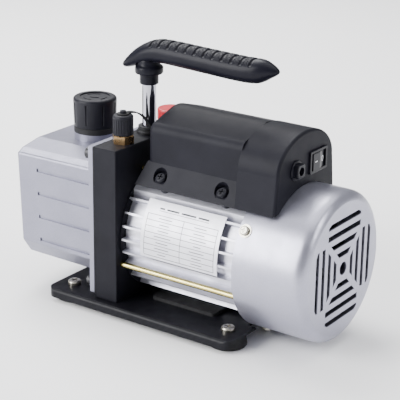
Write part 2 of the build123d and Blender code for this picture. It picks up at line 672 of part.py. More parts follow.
def motor_shaft():
    shaft = rod_x(-41.0, 100.0, SHAFT_BEARING_R)
    shaft += rod_x(-29.0, 73.8, 8.0)
    shaft += rod_x(-45.8, -41.0, 7.5)
    tongue = block(-49.6, -45.8, -1.5, 1.5, AXIS_Z - 6.5, AXIS_Z + 6.5)
    shaft += tongue
    return shaft


def cooling_fan():
    hub = ring_x(88.0, 99.0, 12.0, SHAFT_BEARING_R)
    disc = ring_x(88.0, 90.5, 30.0, 11.0)
    fan = hub + disc
    for k in range(9):
        blade = block(90.0, 106.0, 16.0, 44.0, -1.0, 1.0)
        blade = blade - block(89.0, 98.0, 40.0, 45.0, -2.0, 2.0)
        fan += Pos(0, 0, AXIS_Z) * Rot(40 * k, 0, 0) * blade
    return fan


def cowl_profile(inset):
    """Outer half-profile of the cowl in X and radius, moved in by the sheet's thickness."""
    x1, r, rf = COWL_X1 - inset, COWL_R - inset, COWL_FACE_R - inset * 0.4
    shoulder_x = COWL_X1 - COWL_SHOULDER
    bend = Spline((shoulder_x, r), (x1 - 2.2, (r + rf) / 2 + 1.0), (x1, rf), tangents=((1, 0), (0.25, -1)))
    rim_x = COWL_X0 - (1 if inset else 0)
    lines = Polyline((x1, rf), (x1, 0), (rim_x, 0), (rim_x, r), (shoulder_x, r))
    return make_face(bend + lines)


def turned(profile):
    """Turn an X-radius profile about the shaft axis."""
    return Pos(0, 0, AXIS_Z) * revolve(Plane.XZ * profile, Axis.X)


def vent_slots():
    """Four quadrants of parallel slots, with the inner ones mitred along the diagonals."""
    slot_h, longest, trim_r, gap = 3.8, 21.5, 40.5, 3.2
    cuts = []
    for row in (11.0, 18.8, 26.6, 34.4):
        low, high = row - slot_h / 2, row + slot_h / 2
        a, b = min(low - gap, longest), min(high - gap, longest)
        face = make_face(Polyline((-a, low), (a, low), (b, high), (-b, high), close=True)) & Circle(trim_r)
        cuts.append(face)
    slots = []
    for turn in range(4):
        for face in cuts:
            bar = extrude(Plane.YZ * face.face(), 12.0)
            slots.append(Pos(COWL_X1 - 6, 0, AXIS_Z) * Rot(90 * turn, 0, 0) * bar)
    return slots


def fan_cowl():
    cowl = turned(cowl_profile(0)) - turned(cowl_profile(COWL_T))
    for slot in vent_slots():
        cowl -= slot
    cowl -= rod_x(COWL_X1 - 6, COWL_X1 + 2, 4.6)
    for angle in COWL_SCREW_ANGLES:
        cowl -= radial(COWL_SCREW_X, COWL_R + 2, 45.0, angle, 1.7)
    return cowl


def cowl_screws():
    screws = []
    for angle in COWL_SCREW_ANGLES:
        y, z = at_angle(COWL_R, angle)
        plane = Plane(origin=(COWL_SCREW_X, y, z), z_dir=(0, y, z - AXIS_Z))
        washer = Cylinder(4.6, 0.6, align=UPRIGHT)
        screw = Pos(0, 0, 0.55) * pan_head(3.2, 2.3) + Pos(0, 0, -3.0) * Cylinder(1.5, 7.2)
        screws.append(plane * (washer + screw))
    return Compound(children=screws)


def tie_rods():
    rods = []
    for y, z in ROD_SPOTS:
        rod = rod_x(BODY_X1 - 5.8, HOUSING_X1 + 9.5, ROD_D / 2, y, z)
        rods.append(rod - block(HOUSING_X1 + 8.5, HOUSING_X1 + 10, y - 0.4, y + 0.4, z - 3, z + 3))
    return Compound(children=rods)


def nameplate():
    sheet = ring_x(-9.0, 54.8, FIN_R + 0.52, FIN_R + 0.02)
    keep = []
    for k in range(7):
        angle = -9.5 + 51.0 * k / 6
        keep.append(at_angle(60.0, angle))
    fan_shape = Polyline((0, AXIS_Z), *keep, close=True)
    wedge = Pos(-9.0, 0, 0) * extrude(Plane.YZ * make_face(fan_shape), 63.8)
    return sheet & wedge


# ---- boxes on top of the motor ----
def arch(half_low, half_high, low, ridge, inset, x):
    """Section of the capacitor cover: upright sides, rounded shoulders and a pitched, rounded roof."""
    half_low, half_high, ridge = half_low - inset, half_high - inset, ridge - inset
    eaves = ridge - ROOF_FALL * half_high
    outline = [(-half_low, low), (half_low, low), (half_high, eaves), (0, ridge), (-half_high, eaves)]
    face = make_face(Polyline(*outline, close=True))
    corners = face.vertices().group_by(Axis.Y)
    face = fillet(corners[-2], 7.0 - inset)
    face = fillet(face.vertices().sort_by(Axis.Y)[-1:], 22.0)
    return Plane(origin=(x, 0, 0), x_dir=(0, 1, 0), z_dir=(1, 0, 0)) * face


def round_arch(low, inset, x):
    """Section of the switch housing: tapered sides under half an ellipse."""
    half_low, half_high = BOX_W / 2 - inset, HOUSING_HALF - inset
    spring = HOUSING_SPRING
    top = EllipticalCenterArc((0, spring), half_high, HOUSING_RISE - inset, start_angle=0, arc_size=180)
    sides = Polyline((-half_high, spring), (-half_low, low), (half_low, low), (half_high, spring))
    return Plane(origin=(x, 0, 0), x_dir=(0, 1, 0), z_dir=(1, 0, 0)) * make_face(top + sides)


def motor_relief():
    """Space kept clear for the motor, the cowl and the tie rods under the boxes."""
    return ([rod_x(-60, COWL_X0 - 0.4, FIN_R + 0.15), rod_x(COWL_X0 - 0.4, 120, COWL_R + 0.3)]
            + [rod_x(-60, 100, ROD_D / 2 + 0.5, y, z) for y, z in ROD_SPOTS])


def cover_frames():
    """Planes on the cover screws' seats, facing away from the shaft axis."""
    frames = []
    for x in COVER_SCREW_X:
        for angle in COVER_SCREW_ANGLES:
            y, z = at_angle(COVER_SEAT, angle)
            frames.append(Plane(origin=(x, y, z), z_dir=(0, y, z - AXIS_Z)))
    return frames


def capacitor_cover():
    w = BOX_WALL
    half = LEDGE_W / 2
    body = extrude(arch(half, half - 0.6, LEDGE_Z - 2, COVER_RIDGE, 0, BOX_X0), SEAM_X - BOX_X0)
    top_edges = [e for e in body.faces().sort_by(Axis.X)[0].edges() if e.center().Z > LEDGE_Z]
    body = fillet(top_edges, 3.5)
    wide = Plane(origin=((BOX_X0 - 6 + SEAM_X) / 2, 0, BOX_BOTTOM)) * Rectangle(SEAM_X - BOX_X0 + 6, BOX_W)
    slim = Plane(origin=((BOX_X0 + SEAM_X) / 2, 0, LEDGE_Z)) * Rectangle(SEAM_X - BOX_X0, LEDGE_W)
    outside = body + loft([wide.face(), slim.face()], ruled=True)
    room = extrude(arch(half, half - 0.6, 90.0, COVER_RIDGE, w, BOX_X0 + w), SEAM_X - BOX_X0)
    cover = outside - room
    for frame in cover_frames():
        cover += (frame * Pos(0, 0, -5) * Cylinder(6.5, 12.0)) & outside
        cover += frame * Pos(0, 0, -6) * Cylinder(4.4, 11.0)
    for shape in motor_relief():
        cover -= shape
    for frame in cover_frames():
        cover -= frame * Pos(0, 0, 7) * Cylinder(5.6, 14.0)
        cover -= frame * Cylinder(2.2, 60)
    return cover


def cover_screws():
    screws = []
    for frame in cover_frames():
        screw = pan_head(3.9, 2.6) + Pos(0, 0, -7.2) * Cylinder(2.0, 14.6)
        screws.append(frame * screw)
    return Compound(children=screws)


GLAND_Y, GLAND_Z = -14.0, 123.4
SWITCH_Y, SWITCH_Z = 13.8, 123.6


def switch_housing():
    w = BOX_WALL
    box = extrude(round_arch(BOX_BOTTOM, 0, SEAM_X), BOX_X1 - SEAM_X)
    box = fillet(box.faces().sort_by(Axis.X)[-1].edges(), 2.0)
    room = extrude(round_arch(BOX_BOTTOM + w, w, SEAM_X + w), BOX_X1 - SEAM_X - 2 * w)
    box -= room
    box -= block(SEAM_X - 1, SEAM_X + 5, -22, 22, 108, 136)
    for shape in motor_relief():
        box -= shape
    box -= block(BOX_X1 - 5, BOX_X1 + 1, SWITCH_Y - 10.1, SWITCH_Y + 10.1, SWITCH_Z - 7.1, SWITCH_Z + 7.1)
    return box - rod_x(BOX_X1 - 5, BOX_X1 + 1, 5.0, GLAND_Y, GLAND_Z)


def cable_gland():
    gland = rod_x(BOX_X1 + 0.02, BOX_X1 + 1.4, 6.8, GLAND_Y, GLAND_Z)
    gland = fillet(gland.faces().sort_by(Axis.X)[-1].edges(), 0.6)
    nose = block(BOX_X1 + 1.3, BOX_X1 + 4.8, GLAND_Y - 4.5, GLAND_Y + 4.5, GLAND_Z - 4.8, GLAND_Z + 4.8)
    nose = fillet(nose.edges().filter_by(Axis.X), 2.2)
    gland += fillet(nose.faces().sort_by(Axis.X)[-1].edges(), 0.6)
    gland += rod_x(BOX_X1 - 7.0, BOX_X1 + 0.1, 4.9, GLAND_Y, GLAND_Z)
    gland += rod_x(BOX_X1 - 6.0, BOX_X1 - 2.5, 6.2, GLAND_Y, GLAND_Z)
    return gland - rod_x(BOX_X1 - 9, BOX_X1 + 7, 3.0, GLAND_Y, GLAND_Z)


def switch_body():
    rim = Box(1.5, 22.0, 15.8, align=(Align.MIN, Align.CENTER, Align.CENTER))
    rim = Pos(BOX_X1 + 0.02, SWITCH_Y, SWITCH_Z) * rim
    rim = fillet(rim.edges().filter_by(Axis.X), 1.0)
    rim = fillet(rim.faces().sort_by(Axis.X)[-1].edges(), 0.4)
    rim += block(BOX_X1 - 14, BOX_X1 + 0.1, SWITCH_Y - 10.0, SWITCH_Y + 10.0, SWITCH_Z - 7.0, SWITCH_Z + 7.0)
    rim -= block(BOX_X1 - 8, BOX_X1 + 3, SWITCH_Y - 9.2, SWITCH_Y + 9.2, SWITCH_Z - 6.1, SWITCH_Z + 6.1)
    return rim - rod_z(SWITCH_Z - 6.6, SWITCH_Z + 6.6, 0.8 + FIT, ROCKER_X, SWITCH_Y)


ROCKER_X, ROCKER_TILT = BOX_X1 - 3.0, 6.0


def switch_rocker():
    """Rocker with two faces that meet at its middle; it rests tipped to one side."""
    reach, depth = 8.5, 5.0
    drop = reach * sin(radians(ROCKER_TILT))
    outline = Polyline((-3.6, -reach * 0.7), (depth - drop, -reach), (depth, 0), (depth - drop, reach),
                       (-3.6, reach * 0.7), close=True)
    key = extrude(make_face(outline), 5.8, both=True)
    key = fillet([e for e in key.edges().filter_by(Axis.Z) if e.center().X > 0], 0.4)
    key += rod_z(-6.5, 6.5, 0.8)
    return Pos(ROCKER_X, SWITCH_Y, SWITCH_Z) * Rot(0, 0, ROCKER_TILT) * key


def run_capacitor():
    y, z = at_angle(FIN_R + 13.55, 96.0)
    can = rod_x(0.0, 52.0, 13.5, y, z)
    can = fillet(can.faces().sort_by(Axis.X)[0].edges(), 1.5)
    for side in (-1, 1):
        can += block(51.9, 57.0, y + side * 5.0 - 2.5, y + side * 5.0 + 2.5, z - 0.4, z + 0.4)
    return can


PIECES = {
    "base_plate": base_plate,
    "rubber_feet": rubber_feet,
    "foot_screws": foot_screws,
    "body_bolts": body_bolts,
    "pump_body": pump_body,
    "shaft_seal": shaft_seal,
    "inlet_fitting": inlet_fitting,
    "intake_screen": intake_screen,
    "inlet_cap": inlet_cap,
    "inlet_cap_tether": inlet_cap_tether,
    "port_fitting": port_fitting,
    "port_cap": port_cap,
    "handle_post": handle_post,
    "post_nut": post_nut,
    "handle_ferrule": handle_ferrule,
    "handle_grip": handle_grip,
    "oil_reservoir": oil_reservoir,
    "reservoir_gasket": reservoir_gasket,
    "reservoir_screws": reservoir_screws,
    "sight_glass": sight_glass,
    "sight_glass_bezel": sight_glass_bezel,
    "bezel_screws": bezel_screws,
    "drain_seal": drain_seal,
    "drain_plug": drain_plug,
    "oil_cap_seal": oil_cap_seal,
    "oil_fill_cap": oil_fill_cap,
    "pump_cylinder": pump_cylinder,
    "pump_end_cover": pump_end_cover,
    "pump_cover_screws": pump_cover_screws,
    "pump_rotor": pump_rotor,
    "vane_near": lambda: vane(-1),
    "vane_far": lambda: vane(1),
    "vane_springs": vane_springs,
    "reed_valve": reed_valve,
    "valve_stop": valve_stop,
    "motor_housing": motor_housing,
    "motor_cradle": motor_cradle,
    "cradle_screw": cradle_screw,
    "front_bearing": lambda: bearing_outer("front"),
    "front_bearing_inner": lambda: bearing_inner("front"),
    "rear_bearing": lambda: bearing_outer("rear"),
    "rear_bearing_inner": lambda: bearing_inner("rear"),
    "rear_end_shield": rear_end_shield,
    "stator_core": stator_core,
    "stator_windings": stator_windings,
    "rotor_core": rotor_core,
    "motor_shaft": motor_shaft,
    "cooling_fan": cooling_fan,
    "fan_cowl": fan_cowl,
    "cowl_screws": cowl_screws,
    "tie_rods": tie_rods,
    "nameplate": nameplate,
    "capacitor_cover": capacitor_cover,
    "cover_screws": cover_screws,
    "switch_housing": switch_housing,
    "cable_gland": cable_gland,
    "switch_body": switch_body,
    "switch_rocker": switch_rocker,
    "run_capacitor": run_capacitor,
}

for node, make in PIECES.items():
    save(node, make())
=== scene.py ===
import math

import bmesh
import bpy
from mathutils import Matrix, Vector


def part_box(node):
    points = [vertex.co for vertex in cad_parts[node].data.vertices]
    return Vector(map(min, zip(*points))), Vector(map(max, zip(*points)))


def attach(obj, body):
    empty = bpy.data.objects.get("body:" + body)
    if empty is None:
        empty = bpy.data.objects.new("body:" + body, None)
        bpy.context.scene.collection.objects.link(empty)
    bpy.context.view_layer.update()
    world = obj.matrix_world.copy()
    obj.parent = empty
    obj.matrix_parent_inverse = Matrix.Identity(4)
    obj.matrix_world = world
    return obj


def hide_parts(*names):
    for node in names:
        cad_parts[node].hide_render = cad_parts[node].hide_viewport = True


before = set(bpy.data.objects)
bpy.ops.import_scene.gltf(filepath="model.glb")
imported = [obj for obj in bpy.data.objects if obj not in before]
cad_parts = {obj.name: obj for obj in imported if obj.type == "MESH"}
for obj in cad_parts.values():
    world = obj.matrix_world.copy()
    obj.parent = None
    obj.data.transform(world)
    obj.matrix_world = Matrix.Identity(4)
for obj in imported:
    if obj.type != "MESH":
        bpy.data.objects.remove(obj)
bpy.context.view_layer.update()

# Studio places and sizes are in metres. The pieces are drawn in millimetres and scaled by MM.
MM = 0.001
AXIS_Z = 57.3           # height of the motor shaft
POST_X = -36.4          # the handle's post


# ---------------------------------------------------------------- camera, light and floor

CAMERA_PLACE = (0.52613, -0.75162, 0.40902)
CAMERA_AZIMUTH, CAMERA_ELEVATION, CAMERA_ROLL = 34.567, 19.797, 0.774
LENS_MM, SENSOR_MM = 124.05, 36.0

SKY_COLOR, SKY_STRENGTH = (0.95, 0.965, 1.0, 1.0), 0.34
MIDDLE = (0.0, 0.0, 0.08)
# name, place, what it points at, width and height, watts
LIGHTS = (
    ("top", (-0.75, 0.42, 1.15), MIDDLE, (1.0, 0.8), 28.0),
    ("front_left", (-1.05, -1.55, 0.85), MIDDLE, (1.1, 1.5), 85.0),
    ("right", (1.35, 0.2, 0.75), (0.1, 0.0, 0.07), (0.5, 0.8), 11.0),
    ("ceiling", (0.0, 0.8, 3.2), (0.0, 0.8, 0.0), (4.0, 4.0), 125.0),
)
FLOOR_HALF, FLOOR_DROP = 6.0, 0.0002


def look(azimuth, elevation, roll):
    """Camera axes for a view along an azimuth (0 looks along +Y) and down an elevation."""
    az, el, ro = (math.radians(v) for v in (azimuth, elevation, roll))
    forward = Vector((-math.sin(az) * math.cos(el), math.cos(az) * math.cos(el), -math.sin(el)))
    right = forward.cross(Vector((0, 0, 1))).normalized()
    up = right.cross(forward)
    side = right * math.cos(ro) + up * math.sin(ro)
    top = up * math.cos(ro) - right * math.sin(ro)
    return Matrix((side, top, -forward)).transposed()


def make_camera():
    data = bpy.data.cameras.new("camera")
    data.sensor_width = SENSOR_MM
    data.lens = LENS_MM
    data.clip_start = 0.05
    camera = bpy.data.objects.new("camera", data)
    axes = look(CAMERA_AZIMUTH, CAMERA_ELEVATION, CAMERA_ROLL)
    camera.matrix_world = Matrix.Translation(CAMERA_PLACE) @ axes.to_4x4()
    bpy.context.scene.collection.objects.link(camera)
    bpy.context.scene.camera = camera


def area_light(name, place, target, size, power):
    data = bpy.data.lights.new(name, "AREA")
    data.shape = "RECTANGLE"
    data.size, data.size_y = size
    data.energy = power
    lamp = bpy.data.objects.new(name, data)
    lamp.location = place
    lamp.rotation_euler = (Vector(target) - Vector(place)).to_track_quat("-Z", "Y").to_euler()
    bpy.context.scene.collection.objects.link(lamp)


def make_studio():
    world = bpy.data.worlds.new("studio")
    world.use_nodes = True
    world.node_tree.nodes["Background"].inputs["Color"].default_value = SKY_COLOR
    world.node_tree.nodes["Background"].inputs["Strength"].default_value = SKY_STRENGTH
    bpy.context.scene.world = world
    for light in LIGHTS:
        area_light(*light)


def make_floor():
    grid = bmesh.new()
    bmesh.ops.create_grid(grid, x_segments=8, y_segments=8, size=FLOOR_HALF)
    mesh = bpy.data.meshes.new("floor")
    grid.to_mesh(mesh)
    grid.free()
    floor = bpy.data.objects.new("floor", mesh)
    floor.location = (0, 0, -FLOOR_DROP)
    bpy.context.scene.collection.objects.link(floor)
    mat, nodes, links, shader = new_material("floor_paper")
    shader.inputs["Roughness"].default_value = 0.9
    shader.inputs["Specular IOR Level"].default_value = 0.1
    patches = noise(nodes, links, 3.0, 2.0)
    shade = ramp(nodes, links, patches, (0.3, (0.93, 0.93, 0.94)), (0.7, (0.95, 0.95, 0.955)))
    links.new(shade, shader.inputs["Base Color"])
    mesh.materials.append(mat)


# ---------------------------------------------------------------- material building blocks

NOISE_LOW, NOISE_HIGH = 0.3, 0.7        # most values of a noise texture lie between these
GRAIN_STRENGTH = 0.6
FLECK_SCALE = 2600.0
COAT_ROUGHNESS = 0.25


def new_material(name):
    mat = bpy.data.materials.new(name)
    mat.use_nodes = True
    nodes, links = mat.node_tree.nodes, mat.node_tree.links
    shader = nodes["Principled BSDF"]
    return mat, nodes, links, shader


def coordinates(nodes, links, stretch):
    place = nodes.new("ShaderNodeTexCoord")
    mapping = nodes.new("ShaderNodeMapping")
    mapping.inputs["Scale"].default_value = stretch
    links.new(place.outputs["Object"], mapping.inputs["Vector"])
    return mapping.outputs["Vector"]


def noise(nodes, links, scale, detail, stretch=(1, 1, 1), rough=0.5):
    tex = nodes.new("ShaderNodeTexNoise")
    tex.inputs["Scale"].default_value = scale
    tex.inputs["Detail"].default_value = detail
    tex.inputs["Roughness"].default_value = rough
    links.new(coordinates(nodes, links, stretch), tex.inputs["Vector"])
    return tex.outputs["Fac"]


def ramp(nodes, links, source, low, high):
    """Colours for a texture's values; low and high are (position, colour) pairs."""
    node = nodes.new("ShaderNodeValToRGB")
    first, last = node.color_ramp.elements
    first.position, last.position = low[0], high[0]
    first.color, last.color = (*low[1], 1.0), (*high[1], 1.0)
    links.new(source, node.inputs["Fac"])
    return node.outputs["Color"]


def spread(nodes, links, source, low, high):
    """Map a noise texture onto a range, for roughness."""
    node = nodes.new("ShaderNodeMapRange")
    node.inputs["From Min"].default_value = NOISE_LOW
    node.inputs["From Max"].default_value = NOISE_HIGH
    node.inputs["To Min"].default_value = low
    node.inputs["To Max"].default_value = high
    links.new(source, node.inputs["Value"])
    return node.outputs["Result"]


def bump(nodes, links, shader, source, strength, depth_mm):
    node = nodes.new("ShaderNodeBump")
    node.inputs["Strength"].default_value = strength
    node.inputs["Distance"].default_value = depth_mm * MM
    links.new(source, node.inputs["Height"])
    links.new(node.outputs["Normal"], shader.inputs["Normal"])


def flecked(nodes, links, tone, amount):
    """The tone with a fine sparkle of lighter and darker specks over it."""
    flecks = noise(nodes, links, FLECK_SCALE, 1.0)
    fine = ramp(nodes, links, flecks, (0.35, (1 - amount,) * 3), (0.65, (1 + amount,) * 3))
    mix = nodes.new("ShaderNodeMix")
    mix.data_type, mix.blend_type = "RGBA", "MULTIPLY"
    mix.inputs["Factor"].default_value = 1.0
    links.new(tone, mix.inputs["A"])
    links.new(fine, mix.inputs["B"])
    return mix.outputs["Result"]


def grained(name, dark, light, rough, grain, grain_depth, metallic=0.0, coat=0.0, patch=45.0,
            stretch=(1, 1, 1), specular=0.5, fleck=0.0):
    """A finish with soft patches of tone, varying gloss and a fine surface grain."""
    mat, nodes, links, shader = new_material(name)
    patches = noise(nodes, links, patch, 4.0, rough=0.6)
    tone = ramp(nodes, links, patches, (0.3, dark), (0.72, light))
    if fleck:
        tone = flecked(nodes, links, tone, fleck)
    links.new(tone, shader.inputs["Base Color"])
    gloss = noise(nodes, links, patch * 3.1, 3.0)
    links.new(spread(nodes, links, gloss, *rough), shader.inputs["Roughness"])
    fine_grain = noise(nodes, links, grain, 3.0, stretch, rough=0.65)
    bump(nodes, links, shader, fine_grain, GRAIN_STRENGTH, grain_depth)
    shader.inputs["Metallic"].default_value = metallic
    shader.inputs["Specular IOR Level"].default_value = specular
    shader.inputs["Coat Weight"].default_value = coat
    shader.inputs["Coat Roughness"].default_value = COAT_ROUGHNESS
    return mat


# ---------------------------------------------------------------- materials

# Each finish has a darker and a lighter tone, the range of its roughness, the scale of its grain and
# how deep the grain is in millimetres.
PAINTS = {
    "silver_paint": dict(dark=(0.215, 0.215, 0.275), light=(0.25, 0.25, 0.315), rough=(0.33, 0.42),
                         grain=900.0, grain_depth=0.014, metallic=0.6, coat=0.08, fleck=0.08),
    "cowl_paint": dict(dark=(0.36, 0.36, 0.44), light=(0.40, 0.40, 0.48), rough=(0.30, 0.37),
                       grain=900.0, grain_depth=0.010, metallic=0.8, coat=0.05, fleck=0.08),
    "black_paint": dict(dark=(0.004, 0.004, 0.006), light=(0.008, 0.008, 0.011), rough=(0.34, 0.48),
                        grain=1100.0, grain_depth=0.015, specular=0.14),
    "body_black": dict(dark=(0.005, 0.005, 0.008), light=(0.009, 0.009, 0.013), rough=(0.4, 0.52),
                       grain=1300.0, grain_depth=0.012, specular=0.11),
    "ink": dict(dark=(0.02, 0.02, 0.028), light=(0.05, 0.05, 0.06), rough=(0.5, 0.6),
                grain=900.0, grain_depth=0.002),
    "mark_white": dict(dark=(0.78, 0.78, 0.80), light=(0.86, 0.86, 0.88), rough=(0.4, 0.5),
                       grain=900.0, grain_depth=0.002),
}
METALS = {
    "cast_aluminium": dict(dark=(0.55, 0.55, 0.62), light=(0.66, 0.66, 0.73), rough=(0.34, 0.48),
                           grain=700.0, grain_depth=0.02, metallic=0.75, stretch=(0.15, 1, 1)),
    "plate_aluminium": dict(dark=(0.70, 0.70, 0.77), light=(0.80, 0.80, 0.86), rough=(0.3, 0.42),
                            grain=2400.0, grain_depth=0.004, metallic=0.35, stretch=(0.03, 1, 1)),
    "chrome": dict(dark=(0.38, 0.38, 0.43), light=(0.46, 0.46, 0.51), rough=(0.05, 0.09),
                   grain=500.0, grain_depth=0.001, metallic=1.0),
    "brass": dict(dark=(0.25, 0.155, 0.075), light=(0.38, 0.25, 0.125), rough=(0.22, 0.36),
                  grain=1800.0, grain_depth=0.004, metallic=1.0, stretch=(1, 1, 0.15)),
    "zinc": dict(dark=(0.40, 0.38, 0.33), light=(0.56, 0.53, 0.46), rough=(0.24, 0.36),
                 grain=1500.0, grain_depth=0.004, metallic=1.0),
    "yellow_zinc": dict(dark=(0.38, 0.32, 0.11), light=(0.52, 0.46, 0.20), rough=(0.2, 0.3),
                        grain=1500.0, grain_depth=0.004, metallic=1.0, stretch=(0.1, 1, 1)),
    "black_oxide": dict(dark=(0.015, 0.015, 0.017), light=(0.03, 0.03, 0.033), rough=(0.3, 0.45),
                        grain=1500.0, grain_depth=0.004, metallic=0.6),
    "steel": dict(dark=(0.36, 0.36, 0.38), light=(0.46, 0.46, 0.48), rough=(0.28, 0.42),
                  grain=1200.0, grain_depth=0.006, metallic=1.0, stretch=(0.2, 1, 1)),
    "iron": dict(dark=(0.13, 0.13, 0.135), light=(0.2, 0.2, 0.205), rough=(0.45, 0.6),
                 grain=900.0, grain_depth=0.03, metallic=0.7),
    "copper": dict(dark=(0.42, 0.14, 0.06), light=(0.55, 0.2, 0.09), rough=(0.3, 0.45),
                   grain=1500.0, grain_depth=0.05, metallic=0.8, stretch=(1, 0.2, 0.2)),
}
PLASTICS = {
    "box_plastic": dict(dark=(0.006, 0.006, 0.010), light=(0.009, 0.009, 0.014), rough=(0.5, 0.54),
                        grain=1000.0, grain_depth=0.10, specular=0.12),
    "cap_plastic": dict(dark=(0.006, 0.006, 0.010), light=(0.010, 0.010, 0.015), rough=(0.4, 0.52),
                        grain=1600.0, grain_depth=0.03, specular=0.18),
    "grip_plastic": dict(dark=(0.004, 0.004, 0.008), light=(0.008, 0.008, 0.013), rough=(0.33, 0.38),
                         grain=1400.0, grain_depth=0.012, specular=0.11),
    "gloss_plastic": dict(dark=(0.004, 0.004, 0.008), light=(0.008, 0.008, 0.013), rough=(0.26, 0.36),
                          grain=900.0, grain_depth=0.006, specular=0.2),
    "red_plastic": dict(dark=(0.40, 0.004, 0.012), light=(0.48, 0.006, 0.018), rough=(0.34, 0.44),
                        grain=800.0, grain_depth=0.01),
    "rubber": dict(dark=(0.009, 0.009, 0.010), light=(0.016, 0.016, 0.018), rough=(0.6, 0.78),
                   grain=1400.0, grain_depth=0.03, specular=0.3),
    "vane": dict(dark=(0.06, 0.035, 0.02), light=(0.11, 0.07, 0.04), rough=(0.5, 0.65),
                 grain=1800.0, grain_depth=0.02, stretch=(0.1, 1, 1)),
    "fan_plastic": dict(dark=(0.008, 0.008, 0.009), light=(0.014, 0.014, 0.016), rough=(0.5, 0.65),
                        grain=900.0, grain_depth=0.02),
}

# the CAD nodes that each finish covers
FINISHES = {
    "silver_paint": ("oil_reservoir",),
    "cowl_paint": ("fan_cowl",),
    "cast_aluminium": ("motor_housing", "rear_end_shield"),
    "plate_aluminium": ("nameplate",),
    "black_paint": ("base_plate",),
    "body_black": ("pump_body",),
    "box_plastic": ("capacitor_cover", "switch_housing"),
    "cap_plastic": ("inlet_cap", "oil_fill_cap", "cover_screws"),
    "grip_plastic": ("handle_ferrule", "handle_grip"),
    "gloss_plastic": ("cable_gland", "switch_body", "switch_rocker"),
    "red_plastic": ("port_cap",),
    "rubber": ("rubber_feet", "shaft_seal", "inlet_cap_tether", "reservoir_gasket", "drain_seal",
               "oil_cap_seal", "motor_cradle"),
    "chrome": ("handle_post", "sight_glass_bezel"),
    "brass": ("inlet_fitting", "port_fitting", "drain_plug"),
    "zinc": ("foot_screws", "body_bolts", "bezel_screws", "cradle_screw", "cowl_screws"),
    "yellow_zinc": ("tie_rods",),
    "black_oxide": ("reservoir_screws", "pump_cover_screws", "post_nut"),
    "steel": ("intake_screen", "pump_rotor", "vane_springs", "reed_valve", "valve_stop", "front_bearing",
              "front_bearing_inner", "rear_bearing", "rear_bearing_inner", "stator_core", "rotor_core",
              "motor_shaft", "run_capacitor"),
    "iron": ("pump_cylinder", "pump_end_cover"),
    "copper": ("stator_windings",),
    "vane": ("vane_near", "vane_far"),
    "fan_plastic": ("cooling_fan",),
    "glass": ("sight_glass",),
}


def sight_glass_material():
    mat, nodes, links, shader = new_material("sight_glass")
    patches = noise(nodes, links, 60.0, 2.0)
    oil = ramp(nodes, links, patches, (0.3, (0.80, 0.78, 0.60)), (0.7, (0.90, 0.88, 0.74)))
    links.new(oil, shader.inputs["Base Color"])
    shader.inputs["Transmission Weight"].default_value = 0.9
    shader.inputs["Roughness"].default_value = 0.04
    shader.inputs["IOR"].default_value = 1.5
    bump(nodes, links, shader, noise(nodes, links, 200.0, 1.0), 0.1, 0.01)
    return mat


def make_materials():
    made = {name: grained(name, **finish) for name, finish in (PAINTS | METALS | PLASTICS).items()}
    made["glass"] = sight_glass_material()
    return made


def finish_cad_nodes(materials):
    for finish, names in FINISHES.items():
        for name in names:
            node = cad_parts[name]
            if not node.material_slots:
                node.data.materials.append(materials[finish])
            for slot in node.material_slots:
                slot.material = materials[finish]


# ---------------------------------------------------------------- mesh helpers

def make_object(name, verts, faces, material, body, smooth=False):
    """A mesh piece from millimetre points, riding on a CAD body."""
    mesh = bpy.data.meshes.new(name)
    mesh.from_pydata([tuple(c * MM for c in v) for v in verts], [], faces)
    mesh.validate()
    work = bmesh.new()
    work.from_mesh(mesh)
    bmesh.ops.recalc_face_normals(work, faces=work.faces)
    work.to_mesh(mesh)
    work.free()
    for polygon in mesh.polygons:
        polygon.use_smooth = smooth
    mesh.materials.append(material)
    piece = bpy.data.objects.new(name, mesh)
    bpy.context.scene.collection.objects.link(piece)
    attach(piece, body)
    return piece


def skin(rings, closed_ends=True):
    """Points and faces of a tube through equal closed rings of points."""
    count = len(rings[0])
    verts = [p for ring in rings for p in ring]
    faces = []
    for k in range(len(rings) - 1):
        for i in range(count):
            j = (i + 1) % count
            faces.append((k * count + i, k * count + j, (k + 1) * count + j, (k + 1) * count + i))
    if closed_ends:
        faces.append(tuple(range(count))[::-1])
        faces.append(tuple((len(rings) - 1) * count + i for i in range(count)))
    return verts, faces


def joined(shells):
    """Points and faces of several (points, faces) shells as one."""
    verts, faces = [], []
    for shell_verts, shell_faces in shells:
        faces += [tuple(i + len(verts) for i in face) for face in shell_faces]
        verts += shell_verts
    return verts, faces


def turned_z(profile, centre, sides=64):
    """Rings of a body turned about a vertical line; profile is (radius, height) pairs."""
    rings = []
    for radius, height in profile:
        rings.append([(centre[0] + radius * math.cos(2 * math.pi * i / sides),
                       centre[1] + radius * math.sin(2 * math.pi * i / sides), height)
                      for i in range(sides)])
    return rings


def between(table, x):
    """Smooth interpolation of a table whose rows start with x, by cubic Hermite curves."""
    rows = [table[0]] + list(table) + [table[-1]]
    last = len(rows) - 3
    k = next(k for k in range(1, last + 1) if x <= rows[k + 1][0] or k == last)
    before, a, b, after = rows[k - 1:k + 3]
    span = b[0] - a[0]
    t = min(max((x - a[0]) / span, 0.0), 1.0)
    at_a, leave_a = 2 * t**3 - 3 * t**2 + 1, t**3 - 2 * t**2 + t
    at_b, reach_b = -2 * t**3 + 3 * t**2, t**3 - t**2
    values = []
    for c in range(1, len(a)):
        slope = (b[c] - a[c]) / span
        left = slope if before is a else (b[c] - before[c]) / (b[0] - before[0])
        right = slope if after is b else (after[c] - a[c]) / (after[0] - a[0])
        values.append(at_a * a[c] + leave_a * span * left + at_b * b[c] + reach_b * span * right)
    return values


# ---------------------------------------------------------------- the handle's grip

